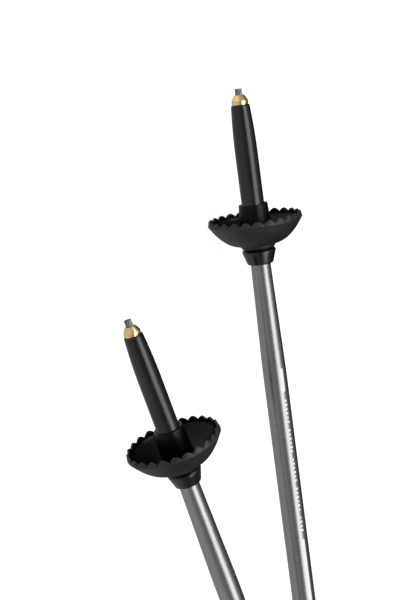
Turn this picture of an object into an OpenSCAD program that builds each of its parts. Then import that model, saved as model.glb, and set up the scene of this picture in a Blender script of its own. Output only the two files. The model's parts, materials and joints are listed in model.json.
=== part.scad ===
// Pair of three-section trekking poles with twist locks, lying crossed on the ground with the tips towards +X.
// A pole is drawn upright in its own frame: its axis is Z, z = 0 is the end of the hard tip, the grip is at the top,
// +X is the palm side of the grip and -X is the side where the strap comes out. place() then lays it down.

/* [Tubes] */
// Outer diameter of the lower tube; each tube above it is 2 mm wider
lower_d = 14; // [13.6:0.2:14.4]
// Wall thickness of every tube
wall = 0.8; // [0.75:0.01:0.85]
// Length of the lower tube
lower_len = 426; // [420:1:430]
// Length of the middle tube
middle_len = 408; // [406:1:446]
// Length of the upper tube
upper_len = 462; // [458:1:470]
// Diameter of the lower tube where it enters the tip
neck_d = 11.7; // [11.4:0.1:12]
// Length over which the lower tube widens from its neck
taper_len = 63; // [50:1:80]

/* [Adjustment at rest] */
// How far the lower section is drawn out of the middle tube
lower_out = 230; // [220:1:280]
// How far the middle section is drawn out of the upper tube
middle_out = 18; // [10:1:30]

/* [Tip] */
// Diameter of the hard-metal insert
insert_d = 4.2; // [3.8:0.1:4.6]
// Diameter of the plated collar that holds the insert
collar_d = 9.7; // [9.2:0.1:10]
// Diameter of the tip body's straight land, on which a rubber cap grips
land_d = 13.2; // [13:0.05:13.4]
// Diameter of the flange that the basket is screwed down on
flange_d = 19.9; // [19:0.1:21]

/* [Basket] */
// Outer diameter of the basket
basket_d = 55.3; // [50:0.1:58]
// Number of scallops round the basket's rim
scallops = 24; // [20:2:28]
// Depth of the basket's bowl
bowl_depth = 13.4; // [11:0.1:14]

/* [Grip] */
// Length of the foam grip
grip_len = 116; // [110:1:120]
// Largest diameter of the foam grip
grip_d = 31; // [29:0.5:32]
// Width of the grip head across its sides
head_d = 32; // [31:0.5:34]
// Width of the strap webbing
strap_w = 20; // [18:0.5:21]
// Length of the strap loop along the pole
strap_len = 168; // [150:1:175]

/* [Layout] */
// Angle between the poles, seen from above
left_yaw = 13.41; // [13:0.01:16]
// Slope of the left pole, which lies on the right one
left_slope = 3.16; // [2.9:0.01:3.2]
// Place on the right pole where the left one crosses it
right_cross = 532; // [525:1:540]

/* [Hidden] */
$fn = 96;
slack = 0.02;    // between pieces that never move on each other
pin_r = 3;       // threaded stud of a twist lock
pole_gap = 0.3;  // between the two poles where they cross

SIDES = ["right", "left"];
PIECES = [
  "tip_insert", "tip_collar", "tip_body", "basket",
  "lower_shaft", "lower_plug", "lower_stud", "lower_stop_nut", "lower_expander", "lower_cone_nut",
  "middle_shaft", "middle_collar", "middle_plug", "middle_stud", "middle_stop_nut",
  "upper_expander", "upper_cone_nut",
  "upper_shaft", "upper_collar", "grip_ring", "grip", "grip_head", "strap_pin", "strap_wedge", "strap", "strap_pad"
];
NODES = [for (side = SIDES) for (piece = PIECES) str(side, "_", piece)];
node = "all";

// Radii of the tubes
lower_r = lower_d / 2;
middle_r = lower_r + 1;
upper_r = lower_r + 2;
neck_r = neck_d / 2;

// Levels along the pole
insert_out = 3.6;               // visible length of the hard-metal insert
collar_shoulder = 6.9;          // where the collar's cone ends
nose_z = 9.3;                   // front face of the tip body
land_z = 38;                    // start of the tip body's straight land
boss_z = 66.8;                  // front face of the basket's boss
land_end_z = 66.4;              // end of the straight land, just before the basket's boss
thread_z = 72;                  // start of the basket's thread
crest_z = 73.9;                 // tops of the scallops
rim_z = 77;                     // widest circle of the basket
neck_z = rim_z + bowl_depth;    // where the bowl meets the basket's neck
seat_z = 93.2;                  // flange face that the basket is screwed down on
tip_end_z = 102.2;              // end of the tip body
lower_z = 64;                   // end of the lower tube, inside the tip body
taper_z = 104;                  // start of the lower tube's taper
lower_top = lower_z + lower_len;
middle_in = 108;                // middle tube's mouth when the pole is pushed together
middle_z = middle_in + lower_out;
middle_top = middle_z + middle_len;
upper_z = middle_z + 22 + middle_out;
upper_top = upper_z + upper_len;
head_z = upper_top - 8;         // bottom of the grip head
head_len = 30;
grip_z = head_z - grip_len;     // bottom of the foam
slot_z = head_z + 17;           // middle of the strap slot

// Twist lock, measured from the end of the inner tube
lock_gap = 4;
sleeve_len = 22;
stop_z = 30;
stop_len = 4;

// Basket profile
rim_r = basket_d / 2;
bowl_neck_r = 10.9;
bore_r = 7.2;
crest_r = rim_r - 0.6;
rim_wall = 1.5;
scallop_h = 2.2;
scallop_pitch = crest_r * sin(180 / scallops);
scallop_r = (scallop_pitch * scallop_pitch + scallop_h * scallop_h) / (2 * scallop_h);

// Grip head
head_r = head_d / 2;
head_back = -3;                 // centre of the head's rear curve
head_front = 9;                 // centre of its front curve
head_front_r = head_r - 3;
head_side_z = head_z + 27;      // where the head's straight side ends

// Strap
strap_t = 1.6;
pad_t = 3;
pad_w = strap_w + 8;
slot_w = strap_w + 1.4;
slot_h = 8;
strap_gap = 0.15;
strap_pin_r = 1.9;
strand = slot_h / 2 - strap_t / 2 - 0.3;    // height of each strand above or below the slot's middle
slot_mouth = head_back - head_r;

// A parabola that leaves a0 with the slope given by the power and arrives flat at a1
function ease(a0, a1, u, power = 2) = a1 - (a1 - a0) * pow(1 - u, power);

// ---- Tip ----

// Hard-metal insert with a dished end
module tip_insert() color("dimgray") {
  difference() {
    rotate_extrude() polygon([
      [0, 0], [insert_d / 2 - 0.2, 0], [insert_d / 2, 0.2], [insert_d / 2, 13.5], [0, 13.5]
    ]);
    translate([0, 0, -2.2]) sphere(r = 2.7);
  }
}

// Plated steel collar, with a knurled stem inside the tip body
module tip_collar() color("goldenrod") {
  stem_r = 3.4;
  rotate_extrude() polygon([
    [insert_d / 2 + slack, insert_out], [insert_d / 2 + 0.75, insert_out], [collar_d / 2, collar_shoulder],
    [collar_d / 2 + 0.05, nose_z - 0.3], [collar_d / 2 - 0.35, nose_z - slack], [stem_r, nose_z - slack],
    [stem_r, 18], [0, 18], [0, 13.5 + slack], [insert_d / 2 + slack, 13.5 + slack]
  ]);
}

// Moulded tip body: tapered nose, straight land, basket thread, flange and the socket for the tube
module tip_body() color([0.1, 0.1, 0.11]) {
  nose_r = 5.45;
  land_r = land_d / 2;
  thread_r = bore_r - 0.06;
  flange_r = flange_d / 2;
  steps = 10;
  nose = [for (i = [0:steps]) let (u = i / steps)
    [ease(nose_r, land_r, u), nose_z + 0.7 + (land_z - nose_z - 0.7) * u]];
  rotate_extrude() polygon(concat(
    [[3.4 + slack, nose_z], [nose_r - 0.5, nose_z], [nose_r - 0.12, nose_z + 0.25]],
    nose,
    [
      [land_r, land_end_z], [neck_r + 0.15, land_end_z + 0.6], [neck_r + 0.15, thread_z],
      [thread_r, thread_z + 0.6],
      [thread_r, seat_z], [flange_r - 0.7, seat_z], [flange_r - 0.15, seat_z + 0.35], [flange_r, seat_z + 1],
      [flange_r - 0.3, seat_z + 2.2],
      [7.75, tip_end_z - 0.7], [7.1, tip_end_z - 0.1], [6.7, tip_end_z],
      [neck_r + slack, tip_end_z], [neck_r + slack, lower_z - slack], [4.6, lower_z - slack],
      [4.6, 40], [1.5, 38], [1.5, 18 + slack], [3.4 + slack, 18 + slack]
    ]
  ));
}

// ---- Basket ----

// Height of the bowl's outer and inner faces at radius r
function bowl_z(r, r_edge, z_edge, depth) =
  z_edge + depth * (1 - pow((r - bowl_neck_r) / (r_edge - bowl_neck_r), 2));

function bowl_curve(r_edge, z_edge, depth, steps) = [for (i = [0:steps])
  let (r = bowl_neck_r + (r_edge - bowl_neck_r) * i / steps) [r, bowl_z(r, r_edge, z_edge, depth)]];

module basket() color([0.16, 0.16, 0.17]) {
  inner_r = rim_r - rim_wall;
  inner_z = rim_z + 0.3;
  inner_depth = bowl_depth - 2.1;
  outer = bowl_curve(rim_r, rim_z, bowl_depth, 12);
  inner = bowl_curve(inner_r, inner_z, inner_depth, 12);
  inner_back = [for (i = [12:-1:0]) inner[i]];
  intersection() {
    union() {
      rotate_extrude() polygon(concat(
        [[bore_r, seat_z - 0.12], [9.2, seat_z - 0.12], [9.5, seat_z - 0.6], [10.3, neck_z + 0.9]],
        outer,
        [[crest_r, crest_z], [crest_r - rim_wall, crest_z]],
        inner_back,
        [[9.9, 85.5], [9.1, 76], [8.55, boss_z + 1], [8.2, boss_z + 0.3], [7.7, boss_z], [bore_r, boss_z]]
      ));
      for (turn = [45:90:315]) rotate([90, 0, turn]) linear_extrude(0.9, center = true) polygon(concat(
        [for (p = inner) if (p[0] < 24) [p[0], p[1] - 1]],
        [for (p = inner_back) if (p[0] < 24) [p[0], p[1] + 0.6]]
      ));
    }
    union() {
      translate([0, 0, crest_z + scallop_h]) cylinder(r = rim_r + 2, h = 40);
      cylinder(r = 18, h = 90);
      for (i = [0:scallops - 1]) rotate([0, 0, (i + 0.5) * 360 / scallops])
        translate([16, 0, crest_z + scallop_r]) rotate([0, 90, 0]) cylinder(r = scallop_r, h = rim_r);
    }
  }
}

// ---- Tubes ----

module tube(r, z0, z1) difference() {
  translate([0, 0, z0]) cylinder(r = r, h = z1 - z0);
  translate([0, 0, z0 - 1]) cylinder(r = r - wall, h = z1 - z0 + 2);
}

// Lower tube, narrowed to a neck at the tip end
module lower_shaft() color([0.45, 0.45, 0.46]) {
  outer = [[neck_r, lower_z], [neck_r, taper_z], [lower_r, taper_z + taper_len], [lower_r, lower_top]];
  rotate_extrude() polygon(concat(outer, [for (i = [3:-1:0]) [outer[i][0] - wall, outer[i][1]]]));
}

module middle_shaft() color([0.45, 0.45, 0.46]) tube(middle_r, middle_z, middle_top);

module upper_shaft() color([0.45, 0.45, 0.46]) tube(upper_r, upper_z, upper_top);

// Bush pressed on the mouth of a tube, which guides the tube that slides in it
module mouth_collar(tube_r, z) color([0.1, 0.1, 0.11]) {
  r = tube_r + 1.4;
  rotate_extrude() polygon([
    [tube_r - 0.92, z - 3], [tube_r + 0.3, z - 3], [tube_r + 0.8, z - 2.6], [r, z], [r, z + 14],
    [r - 0.5, z + 16.6], [r - 0.9, z + 17], [tube_r + slack, z + 17], [tube_r + slack, z - slack],
    [tube_r - 0.92, z - slack]
  ]);
}

module middle_collar() mouth_collar(middle_r, middle_z);

module upper_collar() mouth_collar(upper_r, upper_z);

// ---- Twist locks: each is drawn for an inner tube of radius tube_r that ends at z ----

// Plug pressed in the inner tube, which holds the stud
module lock_plug(tube_r, z) color("whitesmoke") difference() {
  union() {
    translate([0, 0, z - 20]) cylinder(r = tube_r - wall - slack, h = 20 + slack);
    translate([0, 0, z + slack]) cylinder(r = tube_r, h = 2);
  }
  translate([0, 0, z - 16]) cylinder(r = pin_r + slack, h = 30);
}

module lock_stud(z) color("silver") translate([0, 0, z - 16 + slack]) cylinder(r = pin_r, h = stop_z + stop_len + 16);

module lock_stop_nut(z) color("silver") translate([0, 0, z + stop_z]) difference() {
  cylinder(r = 5.4, h = stop_len, $fn = 6);
  translate([0, 0, -1]) cylinder(r = pin_r + slack, h = stop_len + 2);
}

// Radius of the sleeve's tapered seat at height h above its base
function seat_r(h) = 3.6 + (5.9 - 3.6) * (h - 5) / (sleeve_len - 5);

// Split sleeve that the cone nut spreads against the outer tube
module lock_expander(tube_r, z) color("red") {
  sleeve_r = tube_r + 0.1;
  translate([0, 0, z + lock_gap]) difference() {
    rotate_extrude() polygon([
      [pin_r + 0.06, 0], [sleeve_r - 0.8, 0], [sleeve_r, 0.8], [sleeve_r, sleeve_len - 0.8],
      [sleeve_r - 0.8, sleeve_len], [seat_r(sleeve_len), sleeve_len], [seat_r(5), 5], [pin_r + 0.06, 5]
    ]);
    for (turn = [0, 90]) rotate([0, 0, turn]) translate([-12, -0.8, 7]) cube([24, 1.6, sleeve_len]);
  }
}

// Tapered nut, with two keys in the sleeve's slots so that it travels along the stud and doesn't turn
module lock_cone_nut(z) color("gold") translate([0, 0, z + lock_gap]) {
  nut_z = 9;
  nut_len = 9.5;
  difference() {
    union() {
      rotate_extrude() polygon([
        [pin_r + 0.06, nut_z], [seat_r(nut_z) - 0.06, nut_z], [seat_r(nut_z + nut_len) - 0.06, nut_z + nut_len],
        [pin_r + 0.06, nut_z + nut_len]
      ]);
      translate([-5.8, -0.6, nut_z]) cube([11.6, 1.2, nut_len]);
    }
    cylinder(r = pin_r + 0.06, h = 40);
  }
}

// ---- Grip ----

// Hard ring that closes the lower end of the foam
module grip_ring() color([0.1, 0.1, 0.11]) rotate_extrude() polygon([
  [upper_r + slack, grip_z - 8], [upper_r + 1.2, grip_z - 8], [upper_r + 2.6, grip_z - 6.4], [12.4, grip_z - 1.5],
  [12.6, grip_z - slack], [upper_r + slack, grip_z - slack]
]);

// Foam grip with a palm swell, narrowed at its foot and under the head
module grip() color([0.14, 0.14, 0.15]) {
  steps = 24;
  mean_r = (grip_d / 2 + 12.6) / 2;
  swell = grip_d / 2 - mean_r;
  outer = [for (i = [0:steps]) let (u = i / steps)
    [mean_r - swell * cos(360 * pow(u, 0.8)) + 0.7 * u, grip_z + (grip_len - slack) * u]];
  rotate_extrude() polygon(concat(
    [[upper_r + slack, grip_z], [12.2, grip_z]], [for (i = [1:steps]) outer[i]],
    [[upper_r + slack, grip_z + grip_len - slack]]
  ));
}

// Plan of the head: two circles, with a flat web between them that stays just inside their common tangents
module head_plan() {
  tilt = acos((head_r - head_front_r) / (head_front - head_back));
  inset = 0.25;
  translate([head_back, 0]) circle(r = head_r);
  translate([head_front, 0]) circle(r = head_front_r);
  polygon([for (c = [[head_back, head_r, -1], [head_front, head_front_r, -1], [head_front, head_front_r, 1],
    [head_back, head_r, 1]]) [c[0] + (c[1] - inset) * cos(tilt), c[2] * (c[1] - inset) * sin(tilt)]]);
}

// Hard head with the strap slot, the wedge's seat and the hole for the strap pin
module grip_head() color([0.1, 0.1, 0.11]) difference() {
  intersection() {
    translate([0, 0, head_z]) linear_extrude(head_len) head_plan();
    translate([2, 0, 0]) rotate_extrude() polygon([
      [0, head_z], [15.5, head_z], [22, head_z + 5], [24, head_side_z - 7], [17, head_side_z],
      [9, head_z + head_len - 0.4], [0, head_z + head_len]
    ]);
  }
  translate([0, 0, head_z - 1]) cylinder(r = upper_r + slack, h = upper_top - head_z + 1 + slack);
  translate([slot_mouth - 2, -slot_w / 2, slot_z - slot_h / 2]) cube([-slot_mouth + 7, slot_w, slot_h]);
  translate([0, head_r + 1, slot_z]) rotate([90, 0, 0]) cylinder(r = strap_pin_r + slack, h = 2 * head_r - 2);
}

// Steel pin that the strap turns round
module strap_pin() color("silver")
  translate([0, head_r - 0.6, slot_z]) rotate([90, 0, 0]) cylinder(r = strap_pin_r, h = 2 * head_r - 3.7);

// Wedge between the two strands, which holds the strap at the length chosen
module strap_wedge() color([0.3, 0.3, 0.31]) {
  wedge_h = 2 * (strand - strap_t / 2 - 0.2);
  translate([0, slot_w / 2 - 0.7, slot_z]) rotate([90, 0, 0]) linear_extrude(slot_w - 1.4) polygon([
    [slot_mouth - 1.5, -wedge_h / 2], [slot_mouth - 1.5, wedge_h / 2], [-4.2, wedge_h / 2 - 0.5],
    [-4.2, -wedge_h / 2 + 0.5]
  ]);
}

// ---- Strap ----
// A closed band that turns round the pin, leaves the slot in two strands and lies beside the pole as a loop.
// Its route is drawn in the XZ plane, the band's width is along Y, and past the slot it settles on the ground.

turn_r = strap_pin_r + 0.3 + strap_t / 2;
strand_end = slot_mouth - 12;   // the strands stay straight up to here, for the wedge to come out between them
loop_out = slot_mouth - 40;
loop_far = slot_z - strap_len + 24;

// Cubic curve through four control points
function cubic(p, u) = pow(1 - u, 3) * p[0] + 3 * pow(1 - u, 2) * u * p[1] + 3 * (1 - u) * u * u * p[2]
  + u * u * u * p[3];

outer_strand = [[strand_end, slot_z + turn_r], [strand_end - 26, slot_z + turn_r], [loop_out - 26, slot_z - 50],
  [loop_out - 16, loop_far]];
far_bend = [[loop_out - 16, loop_far], [loop_out - 9, loop_far - 31], [loop_out + 20, loop_far - 31],
  [loop_out + 22, loop_far + 2]];
inner_strand = [[loop_out + 22, loop_far + 2], [loop_out + 23, slot_z - 80], [strand_end - 15, slot_z - turn_r],
  [strand_end, slot_z - turn_r]];
strap_route = concat(
  [for (a = [-90:30:90]) [turn_r * cos(a), slot_z + turn_r * sin(a)]],
  [for (i = [0:25]) cubic(outer_strand, i / 25)],
  [for (i = [1:10]) cubic(far_bend, i / 10)],
  [for (i = [1:25]) cubic(inner_strand, i / 25)]
);
strap_last = len(strap_route) - 1;
pad_from = 19;
pad_to = 52;

function route_normal(i) = let (a = strap_route[max(i - 1, 0)], b = strap_route[min(i + 1, strap_last)],
  d = (b - a) / norm(b - a)) [d[1], -d[0]];

// How far point i has settled: 0 in the slot, 1 on the ground
function settled(i) = let (u = max(0, min(1, min(i - 7, strap_last - i) / 12))) u * u * (3 - 2 * u);

// Drop of the band's middle line at point i, which brings the padded part down to the ground
function drop(i, slope) = settled(i) * (head_r - pad_w / 2
  + ((head_side_z - strap_route[i][1]) * sin(slope) - 0.3) / cos(slope));

// Corner of the band's section at point i: across is the side along Y, off the distance outwards
function band_point(i, across, off, slope) = let (p = strap_route[i] + route_normal(i) * off)
  [p[0], across - drop(i, slope), p[1]];

// Band of width w between two distances from the route, over points i0 to i1, closed on itself if it goes all round
module band(i0, i1, w, off0, off1, slope, closed) {
  n = i1 - i0 + 1;
  points = [for (i = [i0:i1]) for (c = [[-w / 2, off0], [w / 2, off0], [w / 2, off1], [-w / 2, off1]])
    band_point(i, c[0], c[1], slope)];
  walls = [for (i = [0:n - (closed ? 1 : 2)]) for (k = [0:3])
    let (j = (i + 1) % n, m = (k + 1) % 4) [4 * i + k, 4 * j + k, 4 * j + m, 4 * i + m]];
  caps = closed ? [] : [[0, 1, 2, 3], [4 * n - 1, 4 * n - 2, 4 * n - 3, 4 * n - 4]];
  polyhedron(points, concat(walls, caps), convexity = 6);
}

module strap(slope) color([0.12, 0.12, 0.13])
  band(0, strap_last, strap_w, -strap_t / 2, strap_t / 2, slope, true);

// Padded wrist section on the inside of the far part of the loop
module strap_pad(slope) color([0.25, 0.25, 0.26])
  band(pad_from, pad_to, pad_w, -strap_t / 2 - strap_gap - pad_t, -strap_t / 2 - strap_gap, slope, false);

// ---- Layout ----

// The right pole rests on its basket and its grip head
right_slope = atan((rim_r - head_r) / (head_side_z - rim_z));
right_h = rim_r * cos(right_slope);

// Unit vector along a pole, from the tip to the grip
function along(slope, yaw) = [-cos(slope) * cos(yaw), -cos(slope) * sin(yaw), -sin(slope)];

right_axis = along(right_slope, 0);
left_axis = along(left_slope, left_yaw);
between = cross(right_axis, left_axis);
lift = (2 * upper_r + pole_gap) * norm(between) / between[2];

// The left pole rests on the right one and on its own grip head
cross_point = [0, 0, right_h] + right_axis * (right_cross - rim_z) + [0, 0, lift];
left_cross = head_side_z - (cross_point[2] - head_r * cos(left_slope)) / sin(left_slope);

// Where each pole's tip is, with the middle of the box that holds both at the origin
centre_shift = [398.341, 22.562];
right_tip = [centre_shift[0], centre_shift[1], right_h] - right_axis * rim_z;
left_tip = cross_point + [centre_shift[0], centre_shift[1], 0] - left_axis * left_cross;

module place(side) {
  if (side == "right") translate(right_tip) rotate([0, -90 - right_slope, 0]) rotate([0, 0, -90]) children();
  else translate(left_tip) rotate([0, -90 - left_slope, left_yaw]) rotate([0, 0, 90]) mirror([0, 1, 0]) children();
}

function shown(side, piece) = node == "all" || node == str(side, "_", piece);

for (side = SIDES) let (slope = side == "right" ? right_slope : left_slope) place(side) {
  if (shown(side, "tip_insert")) tip_insert();
  if (shown(side, "tip_collar")) tip_collar();
  if (shown(side, "tip_body")) tip_body();
  if (shown(side, "basket")) basket();
  if (shown(side, "lower_shaft")) lower_shaft();
  if (shown(side, "lower_plug")) lock_plug(lower_r, lower_top);
  if (shown(side, "lower_stud")) lock_stud(lower_top);
  if (shown(side, "lower_stop_nut")) lock_stop_nut(lower_top);
  if (shown(side, "lower_expander")) lock_expander(lower_r, lower_top);
  if (shown(side, "lower_cone_nut")) lock_cone_nut(lower_top);
  if (shown(side, "middle_shaft")) middle_shaft();
  if (shown(side, "middle_collar")) middle_collar();
  if (shown(side, "middle_plug")) lock_plug(middle_r, middle_top);
  if (shown(side, "middle_stud")) lock_stud(middle_top);
  if (shown(side, "middle_stop_nut")) lock_stop_nut(middle_top);
  if (shown(side, "upper_expander")) lock_expander(middle_r, middle_top);
  if (shown(side, "upper_cone_nut")) lock_cone_nut(middle_top);
  if (shown(side, "upper_shaft")) upper_shaft();
  if (shown(side, "upper_collar")) upper_collar();
  if (shown(side, "grip_ring")) grip_ring();
  if (shown(side, "grip")) grip();
  if (shown(side, "grip_head")) grip_head();
  if (shown(side, "strap_pin")) strap_pin();
  if (shown(side, "strap_wedge")) strap_wedge();
  if (shown(side, "strap")) strap(slope);
  if (shown(side, "strap_pad")) strap_pad(slope);
}
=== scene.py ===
"""A pair of trekking poles lying crossed on a pale floor.

Every piece is drawn in its pole's own frame, in millimetres: the pole's axis is Z, z = 0 is the end of the hard tip
and z grows towards the grip; the strap leaves on the -X side, and Y points up from the floor. pole_matrix() takes
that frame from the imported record's mounts and joints.
"""
import json
import math
import bmesh
import bpy
from mathutils import Matrix, Vector, noise


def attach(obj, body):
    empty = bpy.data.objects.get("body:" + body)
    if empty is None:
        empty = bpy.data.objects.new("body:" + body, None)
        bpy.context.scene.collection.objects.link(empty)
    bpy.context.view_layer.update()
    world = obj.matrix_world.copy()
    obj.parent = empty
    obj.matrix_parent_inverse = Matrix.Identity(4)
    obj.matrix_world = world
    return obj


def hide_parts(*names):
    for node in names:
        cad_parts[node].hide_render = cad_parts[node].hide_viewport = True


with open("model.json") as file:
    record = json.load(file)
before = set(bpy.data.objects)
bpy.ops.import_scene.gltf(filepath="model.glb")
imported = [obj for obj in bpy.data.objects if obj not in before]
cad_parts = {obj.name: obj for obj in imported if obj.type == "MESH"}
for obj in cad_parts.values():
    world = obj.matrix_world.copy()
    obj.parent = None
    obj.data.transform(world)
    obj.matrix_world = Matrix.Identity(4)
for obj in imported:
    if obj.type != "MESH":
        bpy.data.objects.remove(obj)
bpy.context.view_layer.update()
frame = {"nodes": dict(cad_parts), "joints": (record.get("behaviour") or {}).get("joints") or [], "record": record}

SIDES = ("right", "left")
MM = 0.001
RECORD = frame["record"]

# ---------------------------------------------------------------- frame of each pole

CAP_SEAT_Z = 52.2  # level of the cap seat's middle on the pole


def joint_axis(name):
    return Vector(next(j["axis"] for j in frame["joints"] if j["name"] == name))


def pole_matrix(side):
    """Matrix from the pole's own frame, in millimetres, to the row frame, in metres."""
    seat = next(m for m in RECORD["mounts"] if m["name"] == f"{side}_cap_seat")
    z = -Vector(seat["axis"])
    x = -joint_axis(f"{side}_wedge_slide")
    y = z.cross(x)
    if y.z < 0:
        y = -y
    origin = Vector(seat["pos_m"]) - z * CAP_SEAT_Z * MM
    columns = [x * MM, y * MM, z * MM, origin]
    return Matrix([[c[i] for c in columns] for i in range(3)] + [[0, 0, 0, 1]])


POLE = {side: pole_matrix(side) for side in SIDES}


def level(side, node, end):
    """Lowest (end 0) or highest (end 1) level that a CAD node reaches along its pole's axis, in millimetres."""
    inverse = POLE[side].inverted()
    levels = [(inverse @ v.co).z for v in frame["nodes"][f"{side}_{node}"].data.vertices]
    return max(levels) if end else min(levels)


# ---------------------------------------------------------------- mesh helpers


def face_outwards(mesh):
    """Turns every closed shell's faces outwards."""
    shell = bmesh.new()
    shell.from_mesh(mesh)
    bmesh.ops.recalc_face_normals(shell, faces=shell.faces)
    shell.to_mesh(mesh)
    shell.free()


def add_object(name, verts, faces, side, body, material, smooth_angle=None, uvs=None):
    """Makes a closed object from points in the pole's frame and lets it ride on the pole's body.

    uvs gives each face's corners, in millimetres along and across the piece.
    """
    matrix = POLE[side]
    mesh = bpy.data.meshes.new(f"{side}_{name}")
    mesh.from_pydata([matrix @ Vector(v) for v in verts], [], faces)
    if uvs:
        layer = mesh.uv_layers.new(name="UVMap")
        corners = [corner for face in uvs for corner in face]
        for loop, corner in zip(layer.data, corners):
            loop.uv = corner
    face_outwards(mesh)
    obj = bpy.data.objects.new(f"{side}_{name}", mesh)
    bpy.context.scene.collection.objects.link(obj)
    mesh.polygons.foreach_set("use_smooth", [True] * len(mesh.polygons))
    if smooth_angle:
        mesh.set_sharp_from_angle(angle=math.radians(smooth_angle))
    mesh.materials.append(MATERIALS[material])
    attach(obj, f"{side}_{body}")
    return obj


def rounded(points, steps=5):
    """Profile whose corners are rounded: each point is (r, z) or (r, z, radius of its corner)."""
    out = []
    count = len(points)
    for i, point in enumerate(points):
        here = Vector(point[:2])
        radius = point[2] if len(point) > 2 else 0
        before = Vector(points[i - 1][:2])
        after = Vector(points[(i + 1) % count][:2])
        a = before - here
        b = after - here
        if not radius or a.length < 1e-6 or b.length < 1e-6:
            out.append(tuple(here))
            continue
        half = a.angle(b) / 2
        if half > math.radians(88):
            out.append(tuple(here))
            continue
        cut = min(radius / math.tan(half), a.length * 0.49, b.length * 0.49)
        start = here + a.normalized() * cut
        end = here + b.normalized() * cut
        for k in range(steps + 1):
            t = k / steps
            out.append(tuple((1 - t) ** 2 * start + 2 * t * (1 - t) * here + t * t * end))
    return out


def lathe(profile, steps=128, shape=None):
    """Closed ring of the profile's (r, z) points about Z. shape(r, z, angle) may move a point to a new (r, z)."""
    verts, faces = [], []
    count = len(profile)
    for j in range(steps):
        angle = 2 * math.pi * j / steps
        for r, z in profile:
            if shape:
                r, z = shape(r, z, angle)
            verts.append((r * math.cos(angle), r * math.sin(angle), z))
    for j in range(steps):
        k = (j + 1) % steps
        for i in range(count):
            n = (i + 1) % count
            faces.append((j * count + i, j * count + n, k * count + n, k * count + i))
    return verts, faces


def ease_in(a, b, u, power=2):
    """From a to b as u goes from 0 to 1, arriving flat at b."""
    return b - (b - a) * (1 - u) ** power


def smooth_step(a, b, x):
    u = max(0.0, min(1.0, (x - a) / (b - a)))
    return u * u * (3 - 2 * u)


# ---------------------------------------------------------------- materials


class Shader:
    """Small helper that adds nodes to a material and joins them."""

    def __init__(self, name, base, roughness, metallic=0.0):
        self.material = bpy.data.materials.new(name)
        self.material.use_nodes = True
        self.nodes = self.material.node_tree.nodes
        self.links = self.material.node_tree.links
        self.principled = self.nodes["Principled BSDF"]
        self.set("Base Color", (*base, 1))
        self.set("Roughness", roughness)
        self.set("Metallic", metallic)
        self.coords = None

    def set(self, socket, value):
        self.principled.inputs[socket].default_value = value

    def add(self, kind, **values):
        node = self.nodes.new(kind)
        for key, value in values.items():
            setattr(node, key, value)
        return node

    def object_coords(self):
        if self.coords is None:
            self.coords = self.add("ShaderNodeTexCoord").outputs["Object"]
        return self.coords

    def noise(self, scale, detail=3.0, roughness=0.5, vector=None):
        node = self.add("ShaderNodeTexNoise")
        node.inputs["Scale"].default_value = scale
        node.inputs["Detail"].default_value = detail
        node.inputs["Roughness"].default_value = roughness
        self.links.new(vector or self.object_coords(), node.inputs["Vector"])
        return node.outputs["Fac"]

    def ramp(self, fac, stops):
        node = self.add("ShaderNodeValToRGB")
        self.links.new(fac, node.inputs["Fac"])
        elements = node.color_ramp.elements
        while len(elements) < len(stops):
            elements.new(0.5)
        for element, (place, colour) in zip(elements, stops):
            element.position = place
            element.color = (*colour, 1) if len(colour) == 3 else colour
        return node.outputs["Color"]

    def grey_ramp(self, fac, low, high, start=0.3, end=0.7):
        return self.ramp(fac, [(start, (low,) * 3), (end, (high,) * 3)])

    def mix(self, fac, a, b, blend="MIX"):
        node = self.add("ShaderNodeMix", data_type="RGBA", blend_type=blend)
        for socket, value in ((0, fac), (6, a), (7, b)):
            if hasattr(value, "is_output"):
                self.links.new(value, node.inputs[socket])
            elif socket == 0:
                node.inputs[socket].default_value = value
            else:
                node.inputs[socket].default_value = (*value, 1)
        return node.outputs[2]

    def math(self, operation, a, b=0.0, c=0.0, clamp=False):
        node = self.add("ShaderNodeMath", operation=operation, use_clamp=clamp)
        for socket, value in enumerate((a, b, c)):
            if hasattr(value, "is_output"):
                self.links.new(value, node.inputs[socket])
            else:
                node.inputs[socket].default_value = value
        return node.outputs[0]

    def bump(self, height, strength, distance, before=None):
        node = self.add("ShaderNodeBump")
        node.inputs["Strength"].default_value = strength
        node.inputs["Distance"].default_value = distance
        self.links.new(height, node.inputs["Height"])
        if before:
            self.links.new(before, node.inputs["Normal"])
        return node.outputs["Normal"]

    def drive(self, socket, value):
        self.links.new(value, self.principled.inputs[socket])


def moulded_plastic(name, base, roughness, grain=2600, depth=0.00003, specular=0.5, tint=0.35):
    """Satin moulded plastic: a fine spark-eroded grain and slightly uneven gloss."""
    s = Shader(name, base, roughness)
    s.set("Specular IOR Level", specular)
    cloudy = s.noise(90, 4)
    low = tuple(c * (1 - tint) for c in base)
    high = tuple(c * (1 + tint) for c in base)
    s.drive("Base Color", s.ramp(cloudy, [(0.3, low), (0.7, high)]))
    s.drive("Roughness", s.grey_ramp(s.noise(260, 5), roughness - 0.05, roughness + 0.06))
    s.drive("Normal", s.bump(s.noise(grain, 2), 0.5, depth))
    return s.material


def tube_material():
    """Satin anodised aluminium: a fine grain and a little unevenness in the anodising."""
    s = Shader("tube", (0.30, 0.295, 0.29), 0.3, metallic=1.0)
    cloudy = s.noise(40, 4)
    s.drive("Base Color", s.ramp(cloudy, [(0.3, (0.292, 0.287, 0.282)), (0.7, (0.308, 0.303, 0.298))]))
    s.drive("Roughness", s.grey_ramp(s.noise(900, 4), 0.27, 0.34))
    s.drive("Normal", s.bump(s.noise(5200, 2), 0.35, 0.000012))
    return s.material


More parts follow.
